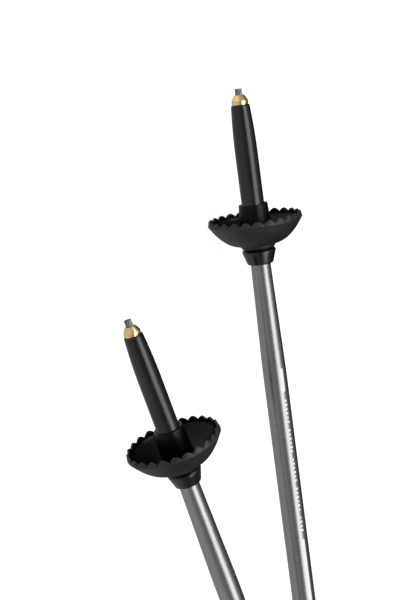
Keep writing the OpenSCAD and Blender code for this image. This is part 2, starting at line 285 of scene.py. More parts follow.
def plated_gold():
    """Yellow passivated zinc: gold with faint pink and green patches."""
    s = Shader("plated_steel", (0.9, 0.7, 0.42), 0.22, metallic=1.0)
    patches = s.ramp(s.noise(520, 4, 0.6), [(0.34, (1.0, 0.74, 0.28)), (0.46, (1.0, 0.62, 0.42)),
                                            (0.54, (1.0, 0.80, 0.36)), (0.66, (0.86, 0.80, 0.30))])
    s.drive("Base Color", patches)
    s.drive("Roughness", s.grey_ramp(s.noise(1500, 4), 0.16, 0.3))
    s.drive("Normal", s.bump(s.noise(900, 4), 0.7, 0.00012))
    return s.material


def ground_metal(name="hard_metal", base=(0.2, 0.185, 0.18), roughness=0.28):
    s = Shader(name, base, roughness, metallic=1.0)
    dark = tuple(c * 0.7 for c in base)
    light = tuple(c * 1.25 for c in base)
    s.drive("Base Color", s.ramp(s.noise(700, 4), [(0.3, dark), (0.7, light)]))
    s.drive("Roughness", s.grey_ramp(s.noise(2200, 4), roughness - 0.08, roughness + 0.12))
    s.drive("Normal", s.bump(s.noise(4200, 3), 0.4, 0.00002))
    return s.material


def foam_material():
    """Closed-cell foam: matt, with fine pores."""
    s = Shader("foam", (0.02, 0.02, 0.021), 0.85)
    s.set("Sheen Weight", 0.25)
    s.set("Sheen Roughness", 0.6)
    pores = s.add("ShaderNodeTexVoronoi")
    pores.inputs["Scale"].default_value = 1500
    s.links.new(s.object_coords(), pores.inputs["Vector"])
    pits = s.grey_ramp(pores.outputs["Distance"], 0.0, 1.0, 0.0, 0.35)
    s.drive("Base Color", s.mix(s.noise(60, 4), (0.014, 0.014, 0.015), (0.034, 0.034, 0.036)))
    s.drive("Normal", s.bump(s.noise(900, 5), 0.4, 0.0001, s.bump(pits, 0.6, 0.00015)))
    return s.material


def webbing_material():
    """Woven webbing: ribs across the band from its weft and fine warp threads along it, from the band's own UVs."""
    s = Shader("webbing", (0.018, 0.018, 0.02), 0.7)
    s.set("Sheen Weight", 0.3)
    s.set("Sheen Roughness", 0.5)
    uv = s.add("ShaderNodeUVMap")
    split = s.add("ShaderNodeSeparateXYZ")
    s.links.new(uv.outputs["UV"], split.inputs[0])
    along, across = split.outputs[0], split.outputs[1]
    rib_pitch, warp_pitch, weave_pitch = 1.3, 1.1, 2.0  # millimetres
    rib = s.math("SINE", s.math("MULTIPLY", along, 2 * math.pi / rib_pitch))
    shift = s.math("MULTIPLY", s.math("ROUND", s.math("MULTIPLY", across, 1 / warp_pitch)), math.pi)
    warp = s.math("SINE", s.math("MULTIPLY", across, 2 * math.pi / warp_pitch))
    weave = s.math("SINE", s.math("ADD", s.math("MULTIPLY", along, 2 * math.pi / weave_pitch), shift))
    height = s.math("ADD", s.math("MULTIPLY", rib, 0.5), s.math("ADD", warp, s.math("MULTIPLY", weave, 0.6)))
    # The weave's low places are painted darker than its high places: painted shade in the grooves.
    s.drive("Base Color", s.mix(s.math("MULTIPLY_ADD", height, 0.22, 0.5, clamp=True),
                                (0.008, 0.008, 0.009), (0.045, 0.045, 0.048)))
    s.drive("Normal", s.bump(height, 0.55, 0.00022))
    return s.material


def padding_material():
    """Brushed lining cloth of the wrist pad."""
    s = Shader("padding", (0.05, 0.05, 0.054), 0.9)
    s.set("Sheen Weight", 0.5)
    s.set("Sheen Roughness", 0.45)
    s.drive("Base Color", s.mix(s.noise(500, 4), (0.03, 0.03, 0.033), (0.07, 0.07, 0.075)))
    s.drive("Normal", s.bump(s.noise(2600, 3), 0.6, 0.00012, s.bump(s.noise(240, 3), 0.3, 0.0003)))
    return s.material


def print_material():
    s = Shader("print_white", (0.86, 0.86, 0.85), 0.35)
    s.drive("Base Color", s.mix(s.noise(1400, 3), (0.80, 0.80, 0.79), (0.92, 0.92, 0.91)))
    s.drive("Roughness", s.grey_ramp(s.noise(3000, 2), 0.3, 0.45))
    return s.material


def nylon_material(name, base):
    s = Shader(name, base, 0.42)
    s.set("Subsurface Weight", 0.1)
    s.set("Subsurface Scale", 0.001)
    s.drive("Base Color", s.mix(s.noise(300, 3), tuple(c * 0.85 for c in base), tuple(min(1, c * 1.1) for c in base)))
    s.drive("Normal", s.bump(s.noise(1800, 3), 0.4, 0.00003))
    return s.material


MATERIALS = {
    "tube": tube_material(),
    "black_plastic": moulded_plastic("black_plastic", (0.0015, 0.0015, 0.0017), 0.24, specular=0.6),
    "basket_plastic": moulded_plastic("basket_plastic", (0.013, 0.0122, 0.0122), 0.5, grain=1900, depth=0.00005),
    # Darker, less glossy copy of the basket plastic for the bowl's inside and the boss: painted shade.
    "basket_inside_painted_shade": moulded_plastic("basket_inside_painted_shade", (0.001, 0.001, 0.0011), 0.32, specular=0.2),
    "plated_steel": plated_gold(),
    "hard_metal": ground_metal(),
    "steel": ground_metal("steel", (0.55, 0.55, 0.56), 0.3),
    "brass": ground_metal("brass", (0.78, 0.58, 0.28), 0.28),
    "foam": foam_material(),
    "webbing": webbing_material(),
    "padding": padding_material(),
    "print": print_material(),
    "nylon": nylon_material("nylon", (0.72, 0.70, 0.64)),
    "red_nylon": nylon_material("red_nylon", (0.5, 0.03, 0.025)),
    "wedge_plastic": moulded_plastic("wedge_plastic", (0.05, 0.05, 0.053), 0.45),
    "binding": moulded_plastic("binding", (0.014, 0.014, 0.015), 0.8, grain=1500, depth=0.0001),
    "thread": moulded_plastic("thread", (0.10, 0.10, 0.105), 0.7),
}
SLOT_OF = {s["node"]: s["material_slot"] for s in RECORD["subparts"]}
for node_name, node_object in frame["nodes"].items():
    node_object.data.materials.clear()
    node_object.data.materials.append(MATERIALS[SLOT_OF[node_name]])


def stands_for(obj, side, *nodes, slot=None):
    """Lets an object replace CAD nodes by hiding them. Its slot argument is not used."""
    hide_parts(*[f"{side}_{n}" for n in nodes])
    slot or SLOT_OF[f"{side}_{nodes[0]}"]


# ---------------------------------------------------------------- tip

TIP = dict(insert_r=2.1, collar_r=4.85, nose_r=5.45, land_r=6.6, boss_z=66.8, rim_z=77.0, neck_z=90.4, seat_z=93.2,
           end_z=102.2, thread_r=7.14, bore_r=7.2)


def tip_insert(side):
    """Ground hard-metal pin with flutes and a dished, slightly toothed end."""
    flutes = 8
    pin_r = TIP["insert_r"]
    profile = rounded([(0.0, 1.1), (0.8, 0.9), (1.55, 0.25, 0.15), (1.8, 0.0, 0.12), (pin_r, 0.12, 0.1),
                       (pin_r, 8.0), (0.0, 8.0)], 3)
    profile = [(max(r, 0.001), z) for r, z in profile]

    def fluted(r, z, angle):
        groove = (0.5 - 0.5 * math.cos(flutes * angle)) ** 2
        depth = 0.22 * groove * smooth_step(1.2, 1.9, r)
        tooth = 0.06 * groove * smooth_step(1.2, 1.8, r) * (1 - smooth_step(0.2, 0.9, z))
        return r - depth, z + tooth

    verts, faces = lathe(profile, 96, fluted)
    obj = add_object("hard_tip", verts, faces, side, "lower_section", "hard_metal", 40)
    stands_for(obj, side, "tip_insert")


def tip_collar(side):
    """Turned collar: cone, rounded shoulder, short band and a chamfer that tucks into the nose."""
    r = TIP["collar_r"]
    profile = rounded([(2.12, 3.6), (2.95, 3.6, 0.15), (r - 0.05, 6.85, 0.3), (r, 7.9, 0.9), (4.5, 9.28, 0.3),
                       (3.4, 9.28), (3.4, 12.0), (2.12, 12.0)], 5)
    verts, faces = lathe(profile, 128)
    obj = add_object("gold_collar", verts, faces, side, "lower_section", "plated_steel", 50)
    stands_for(obj, side, "tip_collar")


def tip_body(side):
    """Moulded tip body from the nose to the socket's mouth, with a conical flange under the basket."""
    steps = 14
    nose_z, land_z = 10.0, 38.0
    profile = [(3.42, 9.3), (4.7, 9.25), (5.12, 9.33), (5.33, 9.55), (5.45, 9.95)]
    for i in range(1, steps + 1):
        u = i / steps
        profile.append((ease_in(TIP["nose_r"], TIP["land_r"], u), nose_z + (land_z - nose_z) * u))
    flange = rounded([
        (TIP["land_r"], 72.0), (TIP["thread_r"], 72.6), (TIP["thread_r"], TIP["seat_z"]),
        (9.15, TIP["seat_z"], 0.12), (9.93, TIP["seat_z"] + 1.15, 0.5), (9.72, TIP["seat_z"] + 2.1, 0.7),
        (7.62, TIP["end_z"] - 0.35, 0.8), (6.6, TIP["end_z"] + 0.1, 0.4), (5.9, TIP["end_z"] - 0.05),
        (5.9, 90.0), (3.42, 60.0),
    ], 5)
    verts, faces = lathe(profile + flange, 144)
    obj = add_object("tip_moulding", verts, faces, side, "lower_section", "black_plastic", 50)
    stands_for(obj, side, "tip_body")


# ---------------------------------------------------------------- basket

SCALLOPS = 24
CREST_Z = 73.9
CREST_R = 27.05
RIM_R = 27.6
SCALLOP_DEPTH = 2.35
# These inside faces take the darker copy of the basket plastic, as painted shade.
FIRST_INSIDE, INSIDE_FACES = 23, 50  # faces of the profile that line the bowl and cover the boss


def scallop(angle):
    """Drop of the rim below the scallops' crests: rounded crests and sharp valleys."""
    phase = (angle * SCALLOPS / (2 * math.pi)) % 1.0 - 0.5
    return SCALLOP_DEPTH * (2 * abs(phase)) ** 1.75


def bowl_profile():
    """Closed profile of the basket: up the outside, over the rim, down the inside and round the boss."""
    steps = 16
    neck_r, neck_z = 10.9, TIP["neck_z"]
    depth = neck_z - TIP["rim_z"]
    outer = []
    for i in range(steps + 1):
        r = neck_r + (RIM_R - neck_r) * i / steps
        outer.append((r, TIP["rim_z"] + depth * (1 - ((r - neck_r) / (RIM_R - neck_r)) ** 2.0)))
    wall = 1.35
    rim = [(RIM_R - 0.02, TIP["rim_z"] - 0.35), (RIM_R - 0.28, TIP["rim_z"] - 1.2), (CREST_R + 0.06, CREST_Z + 0.35),
           (CREST_R - 0.1, CREST_Z + 0.06), (CREST_R - 0.35, CREST_Z), (CREST_R - wall + 0.35, CREST_Z),
           (CREST_R - wall + 0.1, CREST_Z + 0.06), (CREST_R - wall, CREST_Z + 0.4), (CREST_R - wall, CREST_Z + 1.6),
           (CREST_R - wall + 0.05, CREST_Z + 2.6)]
    inner = []
    inner_edge = CREST_R - wall
    inner_depth = depth - 1.9
    for i in range(steps + 1):
        r = inner_edge + (11.2 - inner_edge) * i / steps
        share = (r - neck_r) / (inner_edge - neck_r)
        inner.append((r, TIP["rim_z"] + 0.4 + inner_depth * (1 - share**2)))
    boss = rounded([(10.2, 86.6, 0.8), (9.3, 80.0, 3.0), (8.75, 72.0, 4.0), (8.45, TIP["boss_z"], 0.55),
                    (6.75, TIP["boss_z"], 0.15), (6.75, 70.5), (TIP["bore_r"], 72.4), (TIP["bore_r"], 93.0)], 5)
    neck = rounded([(8.8, 93.05), (9.25, 92.9, 0.15), (9.4, 92.4, 0.2), (10.15, 91.7, 0.25), (10.35, 90.9, 0.3)], 3)
    return outer + rim + inner + boss + neck


def basket(side):
    steps = SCALLOPS * 16
    band_z = TIP["rim_z"] + 0.2

    def scalloped(r, z, angle):
        if r > 20 and z < band_z:
            drop = scallop(angle)
            share = (band_z - z) / (band_z - CREST_Z)
            z += drop * share
        return r, z

    verts, faces = lathe(bowl_profile(), steps, scalloped)
    obj = add_object("cup_basket", verts, faces, side, "screw_basket", "basket_plastic", 32)
    # The faces inside the bowl and over the boss get the darker copy of the plastic: painted shade.
    obj.data.materials.append(MATERIALS["basket_inside_painted_shade"])
    count = len(bowl_profile())
    for face in obj.data.polygons:
        if FIRST_INSIDE <= face.index % count < FIRST_INSIDE + INSIDE_FACES:
            face.material_index = 1
    stands_for(obj, side, "basket")


# ---------------------------------------------------------------- tubes, their print and their collars

TUBE_R = {"lower": 7.0, "middle": 8.0, "upper": 9.0}
TUBE_BODY = {"lower": "lower_section", "middle": "middle_section", "upper": "handle"}
TUBE_WALL = 0.8
NECK_R = 5.85
TAPER_Z = (104.0, 167.0)


def tube_radius(part, z):
    """Outer radius of a tube at a level."""
    if part != "lower":
        return TUBE_R[part]
    share = max(0.0, min(1.0, (z - TAPER_Z[0]) / (TAPER_Z[1] - TAPER_Z[0])))
    return NECK_R + (TUBE_R["lower"] - NECK_R) * share


def tubes(side):
    """Drawn tubes with broken edges; the lower one narrows to a neck at the tip."""
    for part, body in TUBE_BODY.items():
        low, high = level(side, f"{part}_shaft", 0), level(side, f"{part}_shaft", 1)
        levels = [z for z in TAPER_Z if part == "lower"]
        stations = [low, low + 0.25, *levels, high - 0.25, high]
        outer = [(tube_radius(part, z), z) for z in stations]
        outer[0] = (outer[0][0] - 0.2, low)
        outer[-1] = (outer[-1][0] - 0.2, high)
        inner = [(tube_radius(part, z) - TUBE_WALL, z) for z in [high, *levels[::-1], low]]
        obj = add_object(f"{part}_tube", *lathe(outer + inner, 96), side, body, "tube", 30)
        stands_for(obj, side, f"{part}_shaft")


class Mesh:
    """Points and faces of several closed shells that become one object."""

    def __init__(self):
        self.verts, self.faces = [], []

    def add(self, verts, faces):
        start = len(self.verts)
        self.verts += verts
        self.faces += [tuple(start + i for i in face) for face in faces]

    def rings(self, rings):
        """A shell through rings of equally many points, with both ends closed."""
        count = len(rings[0])
        verts = [v for ring in rings for v in ring]
        faces = [(i * count + k, i * count + (k + 1) % count, (i + 1) * count + (k + 1) % count, (i + 1) * count + k)
                 for i in range(len(rings) - 1) for k in range(count)]
        faces += [tuple(range(count)), tuple(range(len(verts) - count, len(verts)))]
        self.add(verts, faces)

    def patch(self, radius, z0, z1, middle, width, thickness=0.035):
        """A thin printed patch on a tube, centred at an angle in degrees; radius is a function of the level."""
        rows = max(1, int((z1 - z0) / 2))
        columns = max(2, int(width / 0.6))
        half = width / radius(z0) / 2
        turn = [math.radians(middle) + half * (2 * k / columns - 1) for k in range(columns + 1)]
        rings = []
        for i in range(rows + 1):
            z = z0 + (z1 - z0) * i / rows
            low, high = radius(z) - 0.1, radius(z) + thickness
            rings.append([(low * math.cos(a), low * math.sin(a), z) for a in turn]
                         + [(high * math.cos(a), high * math.sin(a), z) for a in turn[::-1]])
        self.rings(rings)


PRINT_ANGLE = {"right": 80.8, "left": 252.5}
BAR_WIDTH = 2.3
FIRST_BAR = (165.0, 179.0)
LAST_BAR = (271.0, 330.0)
TICKS = (184.0, 268.0, 2.6)  # first and last level, and pitch
TICK_LENGTH = 1.3
TICKS_PER_GROUP = 7  # the last place of each group is left blank
SCALE_PITCH = 10
SCALE_MARKS = {"lower": 9, "middle": 29}
STOP_BELOW_TOP = {"lower": 66, "middle": 84}  # level of the stop ring below the tube's top
STOP_DASHES = 12


def prints(side):
    """White bars and ticks on the lower tube, and length scales with a stop ring on both sliding tubes."""
    angle = PRINT_ANGLE[side]
    marks = Mesh()
    radius = lambda z: tube_radius("lower", z)
    for z0, z1 in (FIRST_BAR, LAST_BAR):
        marks.patch(radius, z0, z1, angle, BAR_WIDTH)
    first, last, pitch = TICKS
    for i in range(int((last - first) / pitch)):
        if i % TICKS_PER_GROUP != TICKS_PER_GROUP - 1:
            z = first + i * pitch
            marks.patch(radius, z, z + TICK_LENGTH, angle - 2.5, BAR_WIDTH * (0.85 if i % 2 else 0.6))
    for part, mouth in (("lower", level(side, "middle_shaft", 0)), ("middle", level(side, "upper_shaft", 0))):
        top = level(side, f"{part}_shaft", 1)
        target = marks if part == "lower" else Mesh()
        radius = lambda z, part=part: tube_radius(part, z)
        for i in range(SCALE_MARKS[part]):
            z = mouth + SCALE_PITCH + SCALE_PITCH * i
            target.patch(radius, z - 0.35, z + 0.35, angle + 110, 7.0 if i % 5 == 4 else 4.0)
        stop = top - STOP_BELOW_TOP[part]
        for k in range(STOP_DASHES):
            target.patch(radius, stop, stop + 1.2, 360 / STOP_DASHES * k, 2.6)
        obj = add_object(f"{part}_print", target.verts, target.faces, side, TUBE_BODY[part], "print", 30)


def mouth_collar(side, part, body):
    """Bush on a tube's mouth, with a rounded lip and shallow grip flutes."""
    tube_r = TUBE_R[part]
    z = level(side, f"{part}_shaft", 0)
    r = tube_r + 1.4
    flutes = 20
    stations = [z + 2.2 + 11.6 * i / 14 for i in range(15)]
    profile = rounded([(tube_r - 0.92, z - 3, 0.15), (tube_r + 0.45, z - 3, 0.3), (tube_r + 1.0, z - 2.2, 0.4),
                       (r, z, 0.4)]) + [(r, s) for s in stations] + rounded([
                           (r, z + 15.4, 0.5), (r - 0.9, z + 17, 0.3), (tube_r + 0.02, z + 17),
                           (tube_r + 0.02, z - 0.02), (tube_r - 0.92, z - 0.02)])

    def fluted(radius, height, angle):
        along = smooth_step(z + 2.2, z + 4.2, height) * (1 - smooth_step(z + 11.8, z + 13.8, height))
        if radius > r - 0.05:
            radius -= 0.38 * along * (0.5 + 0.5 * math.cos(flutes * angle)) ** 2
        return radius, height

    obj = add_object(f"{part}_lock_collar", *lathe(profile, flutes * 8, fluted), side, body, "black_plastic", 40)
    stands_for(obj, side, f"{part}_collar")


# ---------------------------------------------------------------- grip

GRIP_BORE = 9.02


def grip_ring(side):
    """Hard ring that closes the foam's lower end, with two turned grooves."""
    z = level(side, "grip_ring", 1)
    profile = rounded([(GRIP_BORE, z - 8), (10.1, z - 8, 0.35), (11.5, z - 6.4, 0.8), (11.85, z - 4.4, 0.1),
                       (11.5, z - 4.1, 0.15), (11.65, z - 3.6, 0.15), (12.1, z - 3.4, 0.1), (12.25, z - 2.2, 0.1),
                       (11.9, z - 1.9, 0.15), (12.0, z - 1.4, 0.15), (12.45, z - 1.2, 0.15), (12.55, z - 0.05, 0.1),
                       (GRIP_BORE, z - 0.05)], 4)
    obj = add_object("grip_end_ring", *lathe(profile, 128), side, "handle", "black_plastic", 40)
    stands_for(obj, side, "grip_ring")


def foam_grip(side):
    """Shaped foam with finger waves on the strap's side, a band of fine grooves and rolled ends."""
    low, high = level(side, "grip", 0), level(side, "grip", 1)
    length = high - low
    steps = 170

    def outline(u):
        r = 14.05 - 1.45 * math.cos(2 * math.pi * u**0.8) + 0.7 * u
        r -= 1.1 * (1 - min(1.0, u / 0.02)) ** 2 + 0.9 * (1 - min(1.0, (1 - u) / 0.015)) ** 2
        if 0.07 < u < 0.2:
            r -= 0.55 * (0.5 - 0.5 * math.cos(2 * math.pi * (u - 0.07) / 0.026)) ** 2
        return r - 0.06

    profile = [(outline(i / steps), low + length * i / steps) for i in range(steps + 1)]
    profile += [(GRIP_BORE, high), (GRIP_BORE, low)]

    def fingers(r, z, angle):
        u = (z - low) / length
        if r > GRIP_BORE + 1 and 0.24 < u < 0.96:
            side_share = max(0.0, -math.cos(angle)) ** 1.5
            r -= 0.8 * side_share * (0.5 - 0.5 * math.cos(2 * math.pi * 4 * (u - 0.24) / 0.72)) ** 1.3
        return r, z

    obj = add_object("foam_grip", *lathe(profile, 96, fingers), side, "handle", "foam", 50)
    stands_for(obj, side, "grip")


HEAD_BACK, HEAD_BACK_R = -3.0, 16.0
HEAD_FRONT, HEAD_FRONT_R = 9.0, 13.0
SLOT_MOUTH = HEAD_BACK - HEAD_BACK_R
SLOT_RISE = 17.0
SLOT_HALF = (10.7, 4.0)


def head_plan(count):
    """Points round the head's plan: two circles and their common tangents."""
    points = []
    for k in range(count):
        a = 2 * math.pi * k / count
        c, s = math.cos(a), math.sin(a)
        back = HEAD_BACK * c + HEAD_BACK_R > HEAD_FRONT * c + HEAD_FRONT_R
        x, r = (HEAD_BACK, HEAD_BACK_R) if back else (HEAD_FRONT, HEAD_FRONT_R)
        points.append(Vector((x + r * c, r * s)))
    return points


def smooth_min(a, b, blend):
    h = max(blend - abs(a - b), 0.0) / blend
    return min(a, b) - h * h * blend / 4


def cutter(name, verts, faces):
    mesh = bpy.data.meshes.new(name)
    mesh.from_pydata(verts, [], faces)
    face_outwards(mesh)
    obj = bpy.data.objects.new(name, mesh)
    bpy.context.scene.collection.objects.link(obj)
    return obj


def grip_head(side):
    """Hard head: a lofted dome with a blank ring on top, cut by the slot, the pin's bore and the tube's socket."""
    z = level(side, "grip_head", 0)
    count = 120
    plan = head_plan(count)
    middle = Vector((2.0, 0.0))
    dome = rounded([(8.0, z), (15.5, z, 0.8), (22.0, z + 5.0, 6.0), (24.5, z + 20.0, 8.0), (17.0, z + 27.2, 5.0),
                    (10.4, z + 29.3, 0.3), (10.1, z + 28.9, 0.1), (9.5, z + 28.95, 0.1), (9.2, z + 29.5, 0.3),
                    (4.0, z + 29.95, 1.0), (1.0, z + 29.97)], 8)
    dome[0] = (1.0, z)
    head = Mesh()
    head.rings([[(*(middle + (p - middle).normalized() * smooth_min((p - middle).length, r, 2.5)), level_z)
                 for p in plan] for r, level_z in dome])
    body = cutter("head", head.verts, head.faces)
    tools = []
    hole = Mesh()
    ring = lambda r, n: [(r * math.cos(2 * math.pi * k / n), r * math.sin(2 * math.pi * k / n)) for k in range(n)]
    hole.rings([[(x, y, h) for x, y in ring(GRIP_BORE, 96)] for h in (z - 1, z + 8.02)])
    tools.append(cutter("socket", hole.verts, hole.faces))
    slot = Mesh()
    half_w, half_h = SLOT_HALF
    corner = 1.2
    outline = rounded([(half_w, half_h, corner), (-half_w, half_h, corner), (-half_w, -half_h, corner),
                       (half_w, -half_h, corner)], 4)
    slot.rings([[(x, y * (1 + flare), z + SLOT_RISE + h * (1 + 2.2 * flare)) for y, h in outline]
                for x, flare in ((SLOT_MOUTH - 2, 0.12), (SLOT_MOUTH, 0.07), (SLOT_MOUTH + 1.6, 0.0),
                                 (SLOT_MOUTH + 26, 0.0))])
    tools.append(cutter("slot", slot.verts, slot.faces))
    pin = Mesh()
    pin.rings([[(x, y, z + SLOT_RISE + h) for x, h in ring(1.95, 32)] for y in (-15.0, 17.0)])
    tools.append(cutter("pin_bore", pin.verts, pin.faces))
    for tool in tools:
        cut = body.modifiers.new(tool.name, "BOOLEAN")
        cut.operation = "DIFFERENCE"
        cut.solver = "EXACT"
        cut.object = tool
    mesh = bpy.data.meshes.new_from_object(body.evaluated_get(bpy.context.evaluated_depsgraph_get()))
    verts = [tuple(v.co) for v in mesh.vertices]
    faces = [tuple(p.vertices) for p in mesh.polygons]
    for obj in [body, *tools]:
        bpy.data.objects.remove(obj)
    obj = add_object("head_moulding", verts, faces, side, "handle", "black_plastic", 38)
    stands_for(obj, side, "grip_head")


def strap_pin(side):
    """Steel pin with a chamfered end and a hexagonal socket in the other."""
    z = level(side, "grip_head", 0) + SLOT_RISE
    steps = 48
    profile = [(0.01, -12.9), (1.6, -12.9), (1.9, -12.5), (1.9, 15.0), (1.6, 15.4), (1.05, 15.4), (0.95, 13.9),
               (0.01, 13.7)]
    rings = []
    for r, y in profile:
        ring = []
        for k in range(steps):
            a = 2 * math.pi * k / steps
            hexagon = math.cos(math.pi / 6) / math.cos((a + math.pi / 6) % (math.pi / 3) - math.pi / 6)
            radius = r * hexagon if y > 13 and 0.5 < r < 1.2 else r
            ring.append((radius * math.cos(a), y, z + radius * math.sin(a)))
        rings.append(ring)
    shape = Mesh()
    shape.rings(rings)
    obj = add_object("steel_pin", shape.verts, shape.faces, side, "handle", "steel", 35)
    stands_for(obj, side, "strap_pin")


def strap_wedge(side):
    """Moulded wedge with cross ribs that bite the strap and a thicker pull at its outer end."""
    z = level(side, "grip_head", 0) + SLOT_RISE
    steps = 60
    start, end = SLOT_MOUTH - 1.45, -4.25
    rings = []
    for i in range(steps + 1):
        u = i / steps
        x = start + (end - start) * u
        height = 1.86 - 0.5 * u
        if 0.12 < u < 0.92:
            height -= 0.22 * (0.5 - 0.5 * math.cos(2 * math.pi * (u - 0.12) / 0.1))
        nose = math.sqrt(max(0.0, 1 - max(0.0, 1 - u / 0.05) ** 2)) * math.sqrt(
            max(0.0, 1 - max(0.0, 1 - (1 - u) / 0.04) ** 2))
        half_w = 9.2 + 0.75 * nose
        half_h = max(0.25, height * (0.35 + 0.65 * nose))
        corner = min(0.6, half_h * 0.9)
        ring = rounded([(half_w, half_h, corner), (-half_w, half_h, corner), (-half_w, -half_h, corner),
                        (half_w, -half_h, corner)], 3)
        rings.append([(x, y, z + h) for y, h in ring])
    shape = Mesh()
    shape.rings(rings)
    obj = add_object("wedge_moulding", shape.verts, shape.faces, side, "wedge", "wedge_plastic", 40)
    stands_for(obj, side, "strap_wedge")


# ---------------------------------------------------------------- strap

STRAP_W, STRAP_T = 20.0, 1.6
PAD_W, PAD_T, PAD_GAP = 28.0, 3.0, 0.15
PAD_FROM, PAD_TO = 19.0, 52.0
TURN_R = 3.0
ROUTE_END = 67.0
HEAD_SIDE_RISE = 27.0
STRAP_REACH = 168.0


def cubic(points, u):
    a, b, c, d = (Vector(p) for p in points)
    v = 1 - u
    return a * v**3 + b * (3 * v * v * u) + c * (3 * v * u * u) + d * u**3


class Route:
    """The strap's middle line, by the place numbers 0 to 67 that the solid strap's points have."""

    def __init__(self, side):
        self.slot_z = level(side, "grip_head", 0) + SLOT_RISE
        self.side_z = self.slot_z - SLOT_RISE + HEAD_SIDE_RISE
        sine = -(POLE[side].to_3x3() @ Vector((0, 0, 1))).normalized().z
        self.slope = math.asin(sine)
        s, end, out = self.slot_z, SLOT_MOUTH - 12, SLOT_MOUTH - 40
        far = s - STRAP_REACH + 24
        self.outer = [(end, s + TURN_R), (end - 26, s + TURN_R), (out - 26, s - 50), (out - 16, far)]
        self.bend = [(out - 16, far), (out - 9, far - 31), (out + 20, far - 31), (out + 22, far + 2)]
        self.inner = [(out + 22, far + 2), (out + 23, s - 80), (end - 15, s - TURN_R), (end, s - TURN_R)]

    def place(self, i):
        if i <= 6:
            a = math.radians(30 * i - 90)
            return Vector((TURN_R * math.cos(a), self.slot_z + TURN_R * math.sin(a)))
        if i < 7:
            return Vector((0, self.slot_z + TURN_R)).lerp(Vector(self.outer[0]), i - 6)
        if i <= 32:
            return cubic(self.outer, (i - 7) / 25)
        if i <= 42:
            return cubic(self.bend, (i - 32) / 10)
        if i <= ROUTE_END:
            return cubic(self.inner, (i - 42) / 25)
        return Vector(self.inner[3]).lerp(Vector((0, self.slot_z - TURN_R)), i - ROUTE_END)

    def drop(self, i):
        settled = smooth_step(0, 1, min(i - 7, ROUTE_END - i) / 12)
        fall = (self.side_z - self.place(i).y) * math.sin(self.slope) - 0.3
        return settled * (HEAD_BACK_R - PAD_W / 2 + fall / math.cos(self.slope))

    def point(self, i, across, off):
        """Point beside the middle line: across the band, and off it on the loop's outside."""
        step = 0.02
        before, after = self.place(max(i - step, 0)), self.place(min(i + step, ROUTE_END + 1))
        d = (after - before).normalized()
        p = self.place(i) + Vector((d.y, -d.x)) * off
        return (p.x, across - self.drop(i), p.y)


def stations(route, start, end, pitch):
    """Place numbers from start to end about pitch mm apart, and their distances along the route."""
    numbers, lengths = [start], [0.0]
    fine = 40
    total = 0.0
    last = route.place(start)
    for k in range(1, int((end - start) * fine) + 1):
        i = start + k / fine
        here = route.place(i)
        total += (here - last).length
        last = here
        if total - lengths[-1] >= pitch and end - i > 0.4 / fine:
            numbers.append(i)
            lengths.append(total)
    numbers.append(end)
    lengths.append(total)
    return numbers, lengths


def band_mesh(route, numbers, lengths, section, closed):
    """Sweeps section(number, share), a ring of (across, off, v) points, along the route, with UVs in millimetres."""
    rings = [section(i, s / lengths[-1]) for i, s in zip(numbers, lengths)]
    count = len(rings[0])
    verts = [route.point(i, across, off) for i, ring in zip(numbers, rings) for across, off, _ in ring]
    faces, uvs = [], []
    total = len(numbers)
    for i in range(total if closed else total - 1):
        j = (i + 1) % total
        reach = lengths[i + 1] if i + 1 < total else lengths[-1] + 1.0
        for k in range(count):
            m = (k + 1) % count
            faces.append((i * count + k, j * count + k, j * count + m, i * count + m))
            va, vb = rings[i][k][2], rings[i][m][2]
            if m == 0:
                vb = va + 0.3
            uvs.append([(lengths[i], va), (reach, va), (reach, vb), (lengths[i], vb)])
    if not closed:
        for ring in (0, total - 1):
            faces.append(tuple(ring * count + k for k in range(count)))
            uvs.append([(lengths[ring], rings[ring][k][2]) for k in range(count)])
    return verts, faces, uvs


def flat_section(width, low, high, edge=0.55, columns=10):
    """Ring of a flat band with rounded edges, from low to high off the route."""
    half, mid, thick = width / 2, (low + high) / 2, (high - low) / 2
    top = [(half * (2 * k / columns - 1) * (1 - edge / half), high) for k in range(columns + 1)]
    turn = [(half - edge + edge * math.sin(math.radians(a)), mid + thick * math.cos(math.radians(a)))
            for a in (30, 60, 90, 120, 150)]
    bottom = [(x, low) for x, _ in top[::-1]]
    back = [(-x, 2 * mid - y) for x, y in turn]
    return [(x, y, x) for x, y in top + turn + bottom + back]


STITCH = ((0.0, -0.16, 0.5), (0.15, 0.02, 0.9), (0.5, 0.1, 1.0), (0.85, 0.02, 0.9), (1.0, -0.16, 0.5))


def stitch(mesh, a, b, up, thick=0.17):
    """One thread stitch from a to b that rises along up and dips into the cloth at both ends."""
    a, b, up = Vector(a), Vector(b), Vector(up).normalized()
    along = (b - a).normalized()
    across = along.cross(up).normalized()
    rings = []
    for u, rise, share in STITCH:  # place along the stitch, height in mm, share of the thickness
        centre = a.lerp(b, u) + up * rise
        rings.append([tuple(centre + (across * math.cos(t) + up * math.sin(t)) * thick * share)
                      for t in (2 * math.pi * k / 6 for k in range(6))])
    mesh.rings(rings)


def run_of_stitches(mesh, route, start, end, across, off, length=2.0, gap=0.9, outside=True):
    """Stitches along the band; across may be a function of the place number."""
    numbers, lengths = stations(route, start, end, 0.1)
    place = 0
    total = lengths[-1]
    at = 0.4
    side_of = 1 if outside else -1
    while at + length < total:
        pair = []
        for s in (at, at + length):
            while lengths[place] < s and place < len(lengths) - 1:
                place += 1
            i = numbers[place]
            pair.append((i, across(i) if callable(across) else across))
        a = Vector(route.point(pair[0][0], pair[0][1], off))
        b = Vector(route.point(pair[1][0], pair[1][1], off))
        up = Vector(route.point(pair[0][0], pair[0][1], off + side_of)) - a
        stitch(mesh, a, b, up)
        at += length + gap


LAP_FROM, LAP_TO = 9.5, 13.5


